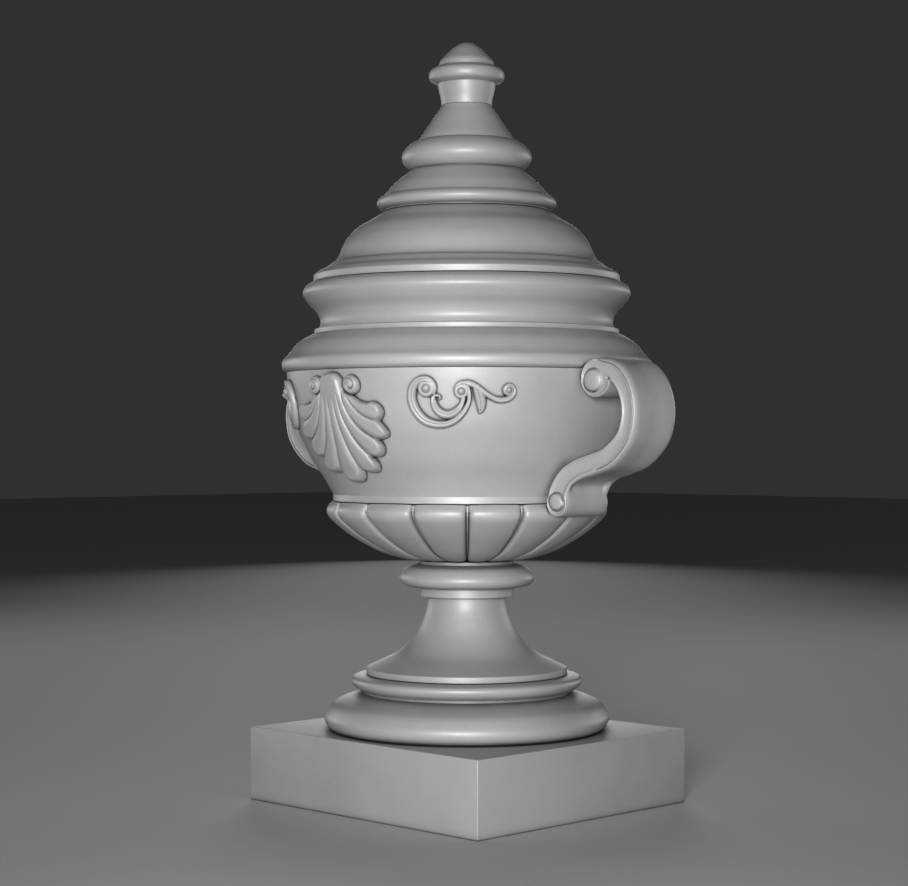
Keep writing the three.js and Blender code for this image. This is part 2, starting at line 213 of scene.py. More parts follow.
def cast_stone(name, tone, honing=1.0, pitting=1.0, patchiness=1.0):
    """Fine cast stone: cloudy tone, sand grains, a few pin holes, painted shade in the corners and painted
    near-black shade in tight creases.
    """
    finish, start, place = bare_finish(name)

    def cloud(scale, detail, roughness=0.55):
        look = {"Vector": place, "Scale": scale, "Detail": detail, "Roughness": roughness}
        return start.node("ShaderNodeTexNoise", {}, look)

    def cells(scale):
        return start.node("ShaderNodeTexVoronoi", {}, {"Vector": place, "Scale": scale})

    patches = cloud(6.5, 5).ramp(0.3, 0.7)
    bloom = cloud(38, 4).ramp(0.35, 0.7)
    sand = cloud(950, 2, 0.7)
    grains = 1 - cells(620).ramp(0.12, 0.30)
    dark_grains = grains * cloud(300, 2).ramp(0.52, 0.60)
    pin_holes = (1 - cells(150).ramp(0.045, 0.10)) * cloud(24, 3).ramp(0.52, 0.62)
    # Painted shade: stone within 14 mm of another surface is darkened (and made a little rougher), where
    # shade falls in corners and between parts.
    corner_look = {"Distance": 14 * MM}
    openness = start.node("ShaderNodeAmbientOcclusion", {"samples": 6}, corner_look, "AO")
    painted_corner_shade = (1 - openness.ramp(0.15, 0.85)) * (0.75 + 0.25 * bloom)
    # Painted shade: within 3.5 mm of another surface the stone is painted nearly black, a dark line in every
    # tight crease and joint.
    tight = start.node("ShaderNodeAmbientOcclusion", {"samples": 6}, {"Distance": 3.5 * MM}, "AO")
    crease = 1 - tight.ramp(0.32, 0.88)
    ridge = start.node("ShaderNodeNewGeometry", output="Pointiness").ramp(0.52, 0.60)

    depth = 0.075 * patchiness
    colour = patches.mix(tinted(tone, 1 - depth), tinted(tone, 1 + depth))
    colour = (bloom * 0.45).mix(colour, tinted(tone, 1 + 0.6 * depth))
    colour = (sand.ramp(0.35, 0.65) * 0.30).mix(colour, tinted(tone, 1.16))
    colour = (dark_grains * 0.42).mix(colour, tinted(tone, 0.62))
    colour = (pin_holes * 0.70).mix(colour, tinted(tone, 0.50))
    colour = (ridge * 0.30).mix(colour, tinted(tone, 1.22))
    # Painted shade in the corners, then painted near-black shade in the tight creases.
    colour = (painted_corner_shade * 0.75).mix(colour, tinted(tone, 0.36))
    colour = (crease * 0.92).mix(colour, tinted(tone, 0.08))

    roughness = 0.53 - 0.10 * honing + 0.10 * sand + 0.18 * pin_holes + 0.20 * painted_corner_shade - 0.06 * ridge
    relief = sand * 0.35 + bloom * 0.25 - dark_grains * 0.12 - pin_holes * 1.6 * pitting
    bump = {"Height": relief, "Strength": 0.55 - 0.2 * honing, "Distance": 0.35 * MM}
    normal = start.node("ShaderNodeBump", {}, bump)
    surface = {"Base Color": colour, "Roughness": roughness, "Normal": normal, "Specular IOR Level": 0.7}
    shader = start.node("ShaderNodeBsdfPrincipled", {}, surface)
    start.node("ShaderNodeOutputMaterial", {}, {"Surface": shader})
    return finish


def settle(name, mesh, finish, body, slot, *nodes):
    """Links a piece with its finish, shades it smooth, hangs it on the body it rides on and hides the CAD
    parts it stands for.
    """
    mesh.polygons.foreach_set("use_smooth", [True] * len(mesh.polygons))
    mesh.materials.clear()
    mesh.materials.append(finish)
    piece = bpy.data.objects.new(name, mesh)
    bpy.context.collection.objects.link(piece)
    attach(piece, body)
    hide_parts(*nodes)
    return piece


def block_with_recess():
    low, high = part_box("plinth")
    work = bmesh.new()
    bmesh.ops.create_cube(work, size=1)
    for corner in work.verts:
        corner.co = [low[i] + (corner.co[i] + 0.5) * (high[i] - low[i]) for i in range(3)]
    bmesh.ops.bevel(work, geom=work.edges[:], offset=BLOCK_ARRIS, segments=3, profile=0.5, affect="EDGES")
    bmesh.ops.recalc_face_normals(work, faces=work.faces[:])
    block = bpy.data.meshes.new("plinth_block")
    work.to_mesh(block)
    work.free()
    return block


def cut(mesh, cutter_mesh):
    """The mesh with the cutter taken out of it."""
    target = bpy.data.objects.new("cut_target", mesh)
    cutter = bpy.data.objects.new("cut_tool", cutter_mesh)
    for item in (target, cutter):
        bpy.context.collection.objects.link(item)
    boolean = target.modifiers.new("cut", "BOOLEAN")
    boolean.operation = "DIFFERENCE"
    boolean.solver = "EXACT"
    boolean.object = cutter
    bpy.context.view_layer.update()
    seen = target.evaluated_get(bpy.context.evaluated_depsgraph_get())
    result = bpy.data.meshes.new_from_object(seen)
    for item in (target, cutter):
        bpy.data.objects.remove(item)
    return result


def catmull(points, steps=8):
    """A smooth run through a few points, each a tuple of numbers."""
    padded = [points[0], *points, points[-1]]
    run = []
    for a, b, c, d in zip(padded, padded[1:], padded[2:], padded[3:]):
        for k in range(steps):
            t = k / steps
            run.append(tuple(
                0.5 * (2 * q + (r - p) * t + (2 * p - 5 * q + 4 * r - s) * t * t
                       + (3 * q - p - 3 * r + s) * t ** 3)
                for p, q, r, s in zip(a, b, c, d)))
    run.append(tuple(points[-1]))
    return run


def eased(loop, arris):
    """The closed template with every sharp corner rounded and held by a point on each side."""
    corners = [Vector(point) for point in loop]
    smooth = []
    for before, here, after in zip(corners[-1:] + corners[:-1], corners, corners[1:] + corners[:1]):
        back = before - here
        on = after - here
        turn = math.pi - back.angle(on, math.pi)
        if turn < math.radians(18):
            smooth.append(here)
            continue
        room = 0.45 * min(back.length, on.length)
        set_back = min(arris * math.tan(turn / 2), room)
        hold = min(set_back + 0.5 * arris, room)
        start = here + back.normalized() * set_back
        end = here + on.normalized() * set_back
        if hold > set_back:
            smooth.append(here + back.normalized() * hold)
        for k in range(5):
            t = k / 4
            smooth.append(start * (1 - t) ** 2 + here * 2 * t * (1 - t) + end * t * t)
        if hold > set_back:
            smooth.append(here + on.normalized() * hold)
    return smooth


def revolved(name, template, facets=192, arris=0.8):
    """Turns a closed template of [radius, height] in mm; its outside runs upwards."""
    loop = eased(template, arris)
    rows = len(loop)
    spots = []
    for j in range(facets):
        turn = 2 * math.pi * j / facets
        across, along = math.cos(turn), math.sin(turn)
        spots += [(p.x * across * MM, p.x * along * MM, p.y * MM) for p in loop]
    faces = []
    for j in range(facets):
        here, there = j * rows, (j + 1) % facets * rows
        for i in range(rows):
            k = (i + 1) % rows
            faces.append((here + i, there + i, there + k, here + k))
    mesh = bpy.data.meshes.new(name)
    mesh.from_pydata(spots, [], faces)
    return mesh


RECESS_TOOL = [(0.01, -5), (RECESS_RADIUS / MM, -5), (RECESS_RADIUS / MM, RECESS_DEPTH / MM),
               (0.01, RECESS_DEPTH / MM)]
plinth_mesh = cut(block_with_recess(), revolved("recess_tool", RECESS_TOOL, 96, 0.01))
# The block's darker tone is painted shade; its rougher, more pitted and patchier face is its own.
sawn_stone = cast_stone("sawn_stone", BLOCK_TONE, honing=0.4, pitting=1.2, patchiness=1.3)
settle("plinth_block", plinth_mesh, sawn_stone, "root", "plinth_stone", "plinth")

# ---- Foot torus ----
# The lowest turned stone: a fat half-round moulding that leans inwards and ends in a short upright
# fillet. Cast in one piece round a bore and bedded on the plinth.
ROD_BORE = 9
STONE_TONE = (0.300, 0.300, 0.297, 1)
URN_STONE = cast_stone("urn_cast_stone", STONE_TONE)


def turned_stone(node, outline, finish=URN_STONE, body="root", slot="urn_stone"):
    """A turned piece standing at the foot of its CAD node; heights are from there up, in mm."""
    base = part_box(node)[0].z / MM
    template = [(radius, base + level) for radius, level in outline]
    return settle(node + "_stone", revolved(node + "_turning", template), finish, body, slot, node)


turned_stone("foot_torus", [
    (ROD_BORE, 0),
    *catmull([(159, 0), (165.6, 5.2), (168.8, 13.5), (166.4, 21), (158.5, 30.6), (145, 37.2), (131, 41.4),
              (121.4, 43.2)]),
    (121.4, 47),
    (ROD_BORE, 47),
])

# ---- Foot ring ----
# A small half-round ring between the torus and the stem, thickest a little below its middle, with
# tight joints above and below.
turned_stone("foot_ring", [
    (ROD_BORE, 0),
    *catmull([(128, 0), (133.9, 4.4), (136.8, 9.6), (134.4, 14.4), (126.5, 17.2)]),
    (ROD_BORE, 17.2),
])

# ---- Stem ----
# One turning from the flat disc at its foot through the trumpet-shaped shaft to the plain collar
# under the knop.
turned_stone("stem", [
    (ROD_BORE, 0),
    (118.9, 0),
    (118.9, 7.4),
    *catmull([(115.2, 9.2), (100, 16.3), (84, 24.3), (70.5, 35.2), (59.5, 49), (52.3, 64.2), (48, 77),
              (46.3, 88)]),
    (46.3, 92),
    (55.7, 92),
    (55.7, 102.9),
    (ROD_BORE, 102.9),
])

# ---- Knop ----
# A cushion-shaped turning that takes the bowl, sharper below than above, with a narrow fillet on
# top.
turned_stone("knop", [
    (ROD_BORE, 0),
    *catmull([(66.5, 0), (75.8, 2.8), (80, 9), (78, 15.8), (71, 22.8), (60, 26.6)]),
    (55.8, 26.8),
    (55.8, 31),
    (ROD_BORE, 31),
])

# ---- Gadrooned bowl ----
# The shallow bowl under the drum, carved with sixteen broad gadroons. A thin bead runs up each
# crease between two cut lines, and the gadroons swell out and roll over at the top.
GADROONS = 16
CROWN_SWELL = 3.0
EDGE_DEPTH = 3.6
BEAD_SINK = 4.6
BEAD_REACH = 0.042
CUT_REACH = 0.066
EDGE_REACH = 0.26
BOWL_TURNING = catmull([(57, 0), (76, 2.2), (101, 9.6), (120, 18.8), (140, 31), (156.8, 44.4), (164.6, 52.4),
                        (166.8, 59), (165.4, 64.4), (160.5, 69.8)], 7)
BOWL_HOLLOW = [(156, 69.8), (134, 69.8),
               *catmull([(133.8, 69), (131, 56.7), (119, 41), (95, 30.5), (60, 25.7)], 5),
               (ROD_BORE, 25.7), (ROD_BORE, 0)]
ACROSS_LOBE = [0, 0.02, BEAD_REACH, 0.052, CUT_REACH, 0.08, 0.1, 0.125, 0.155, 0.19, 0.23, 0.28, 0.36, 0.46,
               0.58, 0.7, 0.82, 0.92, 1]


def sink_of_lobe(across):
    """How far the skin lies in from the crown, from 0 at the crease to 1 at the crown."""
    swell = CROWN_SWELL * (1 - across) ** 2
    if across <= BEAD_REACH:
        return swell + BEAD_SINK - 0.9 * math.sqrt(max(0.0, 1 - (across / BEAD_REACH) ** 2))
    if across <= CUT_REACH:
        return swell + BEAD_SINK + 1.2
    rise = min(1.0, (across - CUT_REACH) / (EDGE_REACH - CUT_REACH))
    return swell + EDGE_DEPTH * (1 - math.sqrt(1 - (1 - rise) ** 2))


def gadrooned_bowl():
    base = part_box("gadroon_bowl")[0].z / MM
    half_lobe = math.pi / GADROONS
    turns = []
    for lobe in range(GADROONS):
        middle = (2 * lobe + 1) * half_lobe
        turns += [(middle + (across - 1) * half_lobe, across) for across in ACROSS_LOBE]
        turns += [(middle + (1 - across) * half_lobe, across) for across in reversed(ACROSS_LOBE[1:-1])]
    skin = []
    for i, (radius, level) in enumerate(BOWL_TURNING):
        before = BOWL_TURNING[max(i - 1, 0)]
        after = BOWL_TURNING[min(i + 1, len(BOWL_TURNING) - 1)]
        along = Vector((after[0] - before[0], after[1] - before[1])).normalized()
        fade = min(1.0, radius / 120) * min(1.0, 0.35 + (BOWL_TURNING[-1][1] - level) / 8)
        skin.append((Vector((radius, level)), Vector((along.y, -along.x)), fade))
    rows = len(skin) + len(BOWL_HOLLOW)
    spots = []
    for turn, across in turns:
        sink = sink_of_lobe(across)
        section = [point - outward * sink * fade for point, outward, fade in skin]
        section += [Vector(point) for point in BOWL_HOLLOW]
        spots += [(p.x * math.cos(turn) * MM, p.x * math.sin(turn) * MM, (base + p.y) * MM) for p in section]
    faces = []
    for j in range(len(turns)):
        here, there = j * rows, (j + 1) % len(turns) * rows
        for i in range(rows):
            k = (i + 1) % rows
            faces.append((here + i, there + i, there + k, here + k))
    mesh = bpy.data.meshes.new("gadrooned_bowl")
    mesh.from_pydata(spots, [], faces)
    return mesh


settle("gadroon_bowl_stone", gadrooned_bowl(), URN_STONE, "root", "urn_stone", "gadroon_bowl")

# ---- Drum ----
# The urn's open drum: a flat band at its foot, then a belly that swells up to the shoulder, with a
# wall of even thickness inside. The handles, shells and scrolls are fixed to it.
DRUM_WALL = 24
DRUM_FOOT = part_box("body_wall")[0].z / MM
DRUM_TURNING = catmull([(158.3, 8.2), (162, 15.2), (169.6, 28.2), (181.4, 46), (191, 65), (201, 90),
                        (207.7, 118.6), (211.4, 138), (213.2, 151.3)])
turned_stone("body_wall", [
    (158.3 - DRUM_WALL, 0),
    (158.3, 0),
    (158.3, 7.6),
    *DRUM_TURNING,
    *[(radius - DRUM_WALL, level) for radius, level in reversed(DRUM_TURNING)],
])


def drum_radius(level):
    """Radius of the drum's skin in mm at a height in mm above the ground."""
    rise = level - DRUM_FOOT
    levels = [point[1] for point in DRUM_TURNING]
    i = min(max(bisect_right(levels, rise), 1), len(levels) - 1)
    (low_radius, low), (high_radius, high) = DRUM_TURNING[i - 1], DRUM_TURNING[i]
    return low_radius + (high_radius - low_radius) * (rise - low) / (high - low)


# ---- Shoulder ----
# A turned ring that closes the drum in: a rounded bead at its edge, then an ogee running up to a
# narrow fillet under the rim.
turned_stone("shoulder", [
    (188, 0),
    *catmull([(213.2, 0), (217.6, 3.2), (219, 9), (217.6, 14.2), (213.4, 18.6)]),
    *catmull([(210.6, 21.6), (202.4, 32.2), (195.4, 38), (184.6, 44.2)])[1:],
    (180.6, 45),
    (180.6, 50.9),
    (152, 50.9),
    (168, 32),
])

# ---- Rim ----
# The lip of the mouth: a hollow neck that flares out to a soft nose, with a level top that the lid
# is seated on.
turned_stone("rim", [
    (150, 0),
    *catmull([(176, 0), (173.2, 8.6), (177.6, 19.6), (187.2, 29.8), (193, 38.6), (193.9, 44), (190.4, 50.6),
              (184, 54.8)]),
    (150, 54.8),
])

# ---- Shells ----
# A scallop on the front and one on the back, pressed in a mould and bedded on the drum: a smooth
# hinge knob on top, a curl on each side of it, and nine reeds fanned out to rounded tips.
RELIEF_STEP = 0.55
BEDDED = 0.5
SHELL_HINGE = 482
HINGE_KNOB = [(0, 504.5), (9, 502.6), (15.2, 497), (17.6, 489), (19.5, 483.5), (24, 480.4)]
WING = [(24, 480.4), (29, 478), (34, 474.4), (40, 471.2), (48, 470), (55.5, 471), (62.4, 467.6), (66, 461),
        (64.4, 454.4), (59.7, 449.5)]
REED_TIPS = [
    [(59.7, 449.5), (63.6, 444), (67, 437.4), (65.2, 432), (60, 429.2), (53, 428.4)],
    [(53, 428.4), (55.4, 421.6), (54.2, 415.4), (50.4, 411), (44.6, 408.8), (37, 409.8)],
    [(37, 409.8), (40, 402), (38.2, 395), (32, 391.5), (24.6, 391.6), (15.4, 395.6)],
    [(15.4, 395.6), (13, 388.6), (7.4, 382.2), (0, 379.7)],
]
CREASES = [
    [(3.9, 479), (4.2, 474), (4.7, 455), (6.4, 436), (9.6, 416), (15.4, 395.6)],
    [(10.6, 479), (11.2, 474), (12.8, 457), (17.6, 441), (24.6, 425.5), (37, 409.8)],
]
KNOB_CREASE = [(17.6, 491), (16.6, 479), (20, 464), (27.2, 450), (38, 438), (53, 428.4)]
WING_CREASE = [(20.5, 484), (24.4, 475.6), (30.4, 466), (40, 457), (50, 452), (59.7, 449.5)]
CURL = (29, 489.6, 11)
CROWN_SPREAD, CROWN_HEIGHT = [0, 30, 46, 66, 90, 104], [11, 10.4, 10.4, 11.4, 13, 14]
CUT_SPREAD, CUT_DEPTH = [6, 18, 30, 46, 66, 90], [0, 2.2, 3.2, 4.4, 5.4, 6]


def curve_run(points, steps=6):
    return np.array(catmull(points, steps))


def distance_to(run, u, z):
    """Distance in mm from each place to an open run of points."""
    nearest = np.full(u.shape, 1e9)
    for start, end in zip(run, run[1:]):
        du, dz = end[0] - start[0], end[1] - start[1]
        share = ((u - start[0]) * du + (z - start[1]) * dz) / max(du * du + dz * dz, 1e-9)
        share = np.clip(share, 0, 1)
        gap = np.hypot(u - start[0] - share * du, z - start[1] - share * dz)
        nearest = np.minimum(nearest, gap)
    return nearest


def depth_inside(loop, u, z):
    """How far inside a closed outline each place is, in mm; negative outside it."""
    closed = np.vstack([loop, loop[:1]])
    inside = np.zeros(u.shape, bool)
    for (u0, z0, *_), (u1, z1, *_) in zip(closed, closed[1:]):
        if z0 == z1:
            continue
        crosses = (z0 > z) != (z1 > z)
        inside ^= crosses & (u < u0 + (z - z0) * (u1 - u0) / (z1 - z0))
    gap = distance_to(closed, u, z)
    return np.where(inside, gap, -gap)


def rounded(depth, reach):
    """A quarter-round from 0 at the edge to 1 at reach mm inside it."""
    share = np.clip(depth / reach, 0, 1)
    return np.sqrt(np.maximum(0, 1 - (1 - share) ** 2))


def carved(name, modelling, left, right, low, high, facing):
    """Meshes a relief on the drum. The modelling gives the height and the depth inside its outline."""
    across = np.arange(left, right, RELIEF_STEP)
    up = np.arange(low, high, RELIEF_STEP)
    u, z = np.meshgrid(across, up)
    height, depth = modelling(u, z)
    keep = depth > 0
    cells = keep[:-1, :-1] | keep[1:, :-1] | keep[:-1, 1:] | keep[1:, 1:]
    slope_z, slope_u = np.gradient(depth, RELIEF_STEP)
    steepness = np.maximum(slope_u ** 2 + slope_z ** 2, 0.25)
    back_in = np.where(keep, 0, np.clip(depth / steepness, -1.6 * RELIEF_STEP, 0))
    u = u - back_in * slope_u
    z = z - back_in * slope_z
    height = np.where(keep, np.maximum(height, 0.3), -0.2)
    number = np.full(u.shape, -1)
    spots, faces, buried = [], [], {}

    def place(row, column, sunk):
        if sunk and keep[row, column]:
            if (row, column) not in buried:
                buried[row, column] = len(spots)
                add_spot(row, column, -BEDDED)
            return buried[row, column]
        if number[row, column] < 0:
            number[row, column] = len(spots)
            add_spot(row, column, height[row, column])
        return int(number[row, column])

    def add_spot(row, column, proud):
        skin = drum_radius(z[row, column])
        turn = facing + u[row, column] / skin
        radius = (skin + proud) * MM
        spots.append((radius * math.cos(turn), radius * math.sin(turn), z[row, column] * MM))

    for row, column in np.argwhere(cells):
        around = [(row, column), (row, column + 1), (row + 1, column + 1), (row + 1, column)]
        face = [place(*corner, False) for corner in around]
        rear = [place(*corner, True) for corner in around]
        faces.append(face)
        if rear != face:
            faces.append(rear[::-1])
    mesh = bpy.data.meshes.new(name)
    mesh.from_pydata(spots, [], faces)
    return mesh


def shell_modelling(u, z):
    side = [*curve_run(HINGE_KNOB), *curve_run(WING)[1:]]
    for tip in REED_TIPS:
        side += [*curve_run(tip)[1:]]
    right = np.array(side)
    left = right[::-1][1:-1] * (-1, 1)
    depth = depth_inside(np.vstack([right, left]), u, z)
    aside = np.abs(u)
    spread = np.hypot(u, z - SHELL_HINGE)
    crown = np.interp(spread, CROWN_SPREAD, CROWN_HEIGHT)
    cut = np.interp(spread, CUT_SPREAD, CUT_DEPTH)
    cut = np.where(z > SHELL_HINGE, 0, cut)
    reed = 0.6 + 0.105 * spread
    creases = [distance_to(curve_run(crease), aside, z) for crease in CREASES]
    groove = 1 - rounded(np.minimum(*creases), reed)
    beside_knob = distance_to(curve_run(KNOB_CREASE), aside, z)
    knob_groove = 1 - rounded(beside_knob, np.where(z > 468, np.interp(z, [468, 484], [2.2, 7.5]), reed))
    wing_groove = 1 - rounded(distance_to(curve_run(WING_CREASE), aside, z), 0.9 * reed)
    knob_cut = np.maximum(cut, np.interp(z, [466, 480], [2.2, 3.4]))
    sunk = np.maximum(cut * groove, knob_cut * knob_groove)
    sunk = np.maximum(sunk, 0.75 * cut * wing_groove)
    fan = (crown - sunk) * rounded(depth, np.interp(spread, [20, 60], [6.5, 4.2]))

    middle_u, middle_z, reach = CURL
    from_middle = np.hypot(aside - middle_u, z - middle_z)
    around = np.mod(math.pi - np.arctan2(z - middle_z, aside - middle_u), 2 * math.pi)
    curl_depth = reach - from_middle
    winding = 8.7 - 0.98 * around
    line = np.exp(-((from_middle - winding) / 0.85) ** 2) * (from_middle < 9.6)
    curl = 8.2 * rounded(curl_depth, 4.2) + 1.4 * np.exp(-(from_middle / 3.2) ** 2) - 1.9 * line
    return np.maximum(fan, np.where(curl_depth > 0, curl, 0)), np.maximum(depth, curl_depth)


for node, facing in (("shell_front", -math.pi / 2), ("shell_back", math.pi / 2)):
    scallop = carved(node + "_carving", shell_modelling, -70, 70, 376, 508, facing)
    settle(node + "_stone", scallop, URN_STONE, "root", "relief_stone", node)

# ---- Scrolls ----
# Four sprays of leafwork on the diagonals, in mirrored pairs. Each has a big C curl with a second
# strand lying in it, a stem that ends in a small curl towards the handle, and one hanging leaf.
BIG_CURL = [(-36.8, 478.6, 1.8), (-35.2, 485, 2.2), (-38.4, 491.6, 2.8), (-45, 494.6, 4), (-53, 493.2, 4.5),
            (-58.8, 487.4, 5.2), (-61.4, 478.8, 5.6), (-60.6, 469.4, 5.6), (-55.8, 458.8, 5.7),
            (-46.8, 449.6, 5.5), (-34.6, 445.2, 4.8), (-23.4, 445.4, 4.3), (-13.8, 449.4, 3.9),
            (-5.2, 457.4, 3.4), (0.4, 467.6, 3), (1.8, 476.4, 2.7), (0.6, 483.8, 2.4), (-2.4, 488.4, 2.4),
            (-6.4, 490.4, 2.2), (-11, 488.4, 1.9), (-14, 484, 1.6), (-13.6, 478.4, 1.5)]
INNER_STRAND = [(-37.4, 474.6, 2.7), (-36.6, 468.4, 4.2), (-33.6, 461.8, 4.8), (-27.8, 456.8, 5.1),
                (-20, 455.6, 5), (-12, 459.6, 4.6), (-7, 466, 3.3), (-4.6, 473, 2.9)]
BUD = [(-39.4, 473.6, 1.6), (-35.4, 476.4, 2), (-31.4, 476.2, 1.9), (-29.4, 473.8, 1.7), (-31.4, 472.6, 1.2)]
STEM = [(-4.8, 490.6, 2.4), (2, 489.6, 3.8), (9, 486.4, 3.6), (16.4, 481, 3.5), (25.4, 474.8, 3.3),
        (34, 471.6, 3.7), (43, 472.6, 3.6), (49, 476.4, 2.8), (51.6, 482, 2.1), (48.8, 487.2, 1.7),
        (44.4, 488.8, 1.4), (40.4, 486.6, 1.2), (39.2, 482.8, 1)]
LEAF = [(6.4, 489, 2.6), (11, 480.4, 5.3), (13.7, 472.6, 6.4), (14.6, 466.2, 5.6), (14.2, 460.8, 3.6),
        (12.2, 457, 1)]
CURL_EYES = [(-44.8, 484.3, 9.9, 6), (-6.9, 481, 8.6, 5.2), (44, 482.4, 6.8, 4.2)]
EYE_PLATE = 5.4
EYE_BOSS = 9.4
STRANDS = [(BIG_CURL, 7.2, 1.3), (INNER_STRAND, 7.2, 1.3), (BUD, 6.4, 0), (STEM, 7.4, 1.1),
           (LEAF, 6.4, 1.4)]


def strand(route, crest, vein, u, z):
    """A round-backed strand with a line cut along it: its height, and the depth inside its edge."""
    run = curve_run(route, 4)
    depth = np.full(u.shape, -1e9)
    share = np.ones(u.shape)
    half = np.ones(u.shape)
    for start, end in zip(run, run[1:]):
        du, dz = end[0] - start[0], end[1] - start[1]
        along = np.clip(((u - start[0]) * du + (z - start[1]) * dz) / max(du * du + dz * dz, 1e-9), 0, 1)
        gap = np.hypot(u - start[0] - along * du, z - start[1] - along * dz)
        width = start[2] + along * (end[2] - start[2])
        nearer = width - gap > depth
        depth = np.where(nearer, width - gap, depth)
        share = np.where(nearer, gap / width, share)
        half = np.where(nearer, width, half)
    back = np.sqrt(np.maximum(0, 1 - np.clip(share, 0, 1) ** 2))
    tall = crest * np.clip(half / 4.2, 0.25, 1) ** 0.45
    line = vein * np.clip(half / 4.2, 0, 1) * np.exp(-(share * half / 1.05) ** 2)
    return np.where(depth > 0, tall * back ** 0.8 - line, 0), depth


def scroll_modelling(hand):
    def modelling(u, z):
        u = hand * u
        layers = [strand(route, crest, vein, u, z) for route, crest, vein in STRANDS]
        for middle_u, middle_z, reach, boss in CURL_EYES:
            out = np.hypot(u - middle_u, z - middle_z)
            plate = EYE_PLATE * rounded(reach - out, 2.4)
            eye = np.where(out < boss, EYE_BOSS * np.sqrt(np.maximum(0, 1 - (out / boss) ** 2)) ** 0.9, 0)
            layers.append((np.where(out < reach, np.maximum(plate, eye), 0), reach - out))
        height, depth = layers[0]
        for other_height, other_depth in layers[1:]:
            height = np.maximum(height, other_height)
            depth = np.maximum(depth, other_depth)
        return height, depth

    return modelling


SCROLL_PLACES = {"scroll_front_right": (-45, 1), "scroll_back_right": (45, -1), "scroll_back_left": (135, 1),
                 "scroll_front_left": (225, -1)}
for node, (facing, hand) in SCROLL_PLACES.items():
    left, right = sorted((-70 * hand, 56 * hand))
    spray = carved(node + "_carving", scroll_modelling(hand), left, right, 436, 502, math.radians(facing))
    settle(node + "_stone", spray, URN_STONE, "root", "relief_stone", node)

# ---- Handles ----
# A broad S-shaped strap on each side, cast with a roll at either end. The flat sides are dished, the
# broad face is hollowed and rounded over at its edges, and a domed eye closes each end of the rolls.
STRAP_STEP = 0.66
STRAP_WIDTH = 72
STRAP_BULGE = 4.6
STRAP_SHOULDER = 9.5
STRAP_HOLLOW = 0.9
SIDE_DISH = 2.5
SIDE_CREASE = 2.6
CREASE_FROM_X = 230
CREASE_TO_Z = 371
PARTING_CUT = 2.8
PARTING_FROM_X = 247.5
PARTING_BELOW_Z = 500
STRAP_LINE = [(240, 506.4, 8), (251, 504.4, 8.2), (262, 499, 8), (271.6, 487.4, 7.7),
              (278, 471, 7.5), (279, 453, 7.5), (271.6, 430.6, 7.9), (249.6, 410.8, 8.6),
              (226.6, 402.6, 9), (206, 396.4, 9.2), (188.4, 386, 9.8), (177.8, 371, 11), (175.4, 360, 11.6)]
TOP_ROLL = (233.2, 496.2, 20.4)
TOP_EYE = (228.8, 494.0, 12.4, 2.6, 0.1, 1.15)
FOOT_ROLL = (175.8, 357.0, 13.9)
FOOT_EYE = (174.6, 359.0, 9.8, 1.4, -0.2, 0.35)
FOOT_NECK = (376, 8, 5.5)
ROLL_SWELL = 0.28
EYE_CUT = 2.3
PAD = (13, 494, 200, 230)


def bedding_radius(level):
    """Radius of the bowl's and drum's skin where the handle lies against it."""
    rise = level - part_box("gadroon_bowl")[0].z / MM
    if rise < BOWL_TURNING[-1][1]:
        return max(radius for radius, up in BOWL_TURNING if up > rise - 1.5)
    return drum_radius(level)


def blended(first, second, soft):
    """The union of two depths, with a fillet of about the given size in mm."""
    lead = np.clip(0.5 + 0.5 * (first - second) / soft, 0, 1)
    return second + (first - second) * lead + soft * lead * (1 - lead)


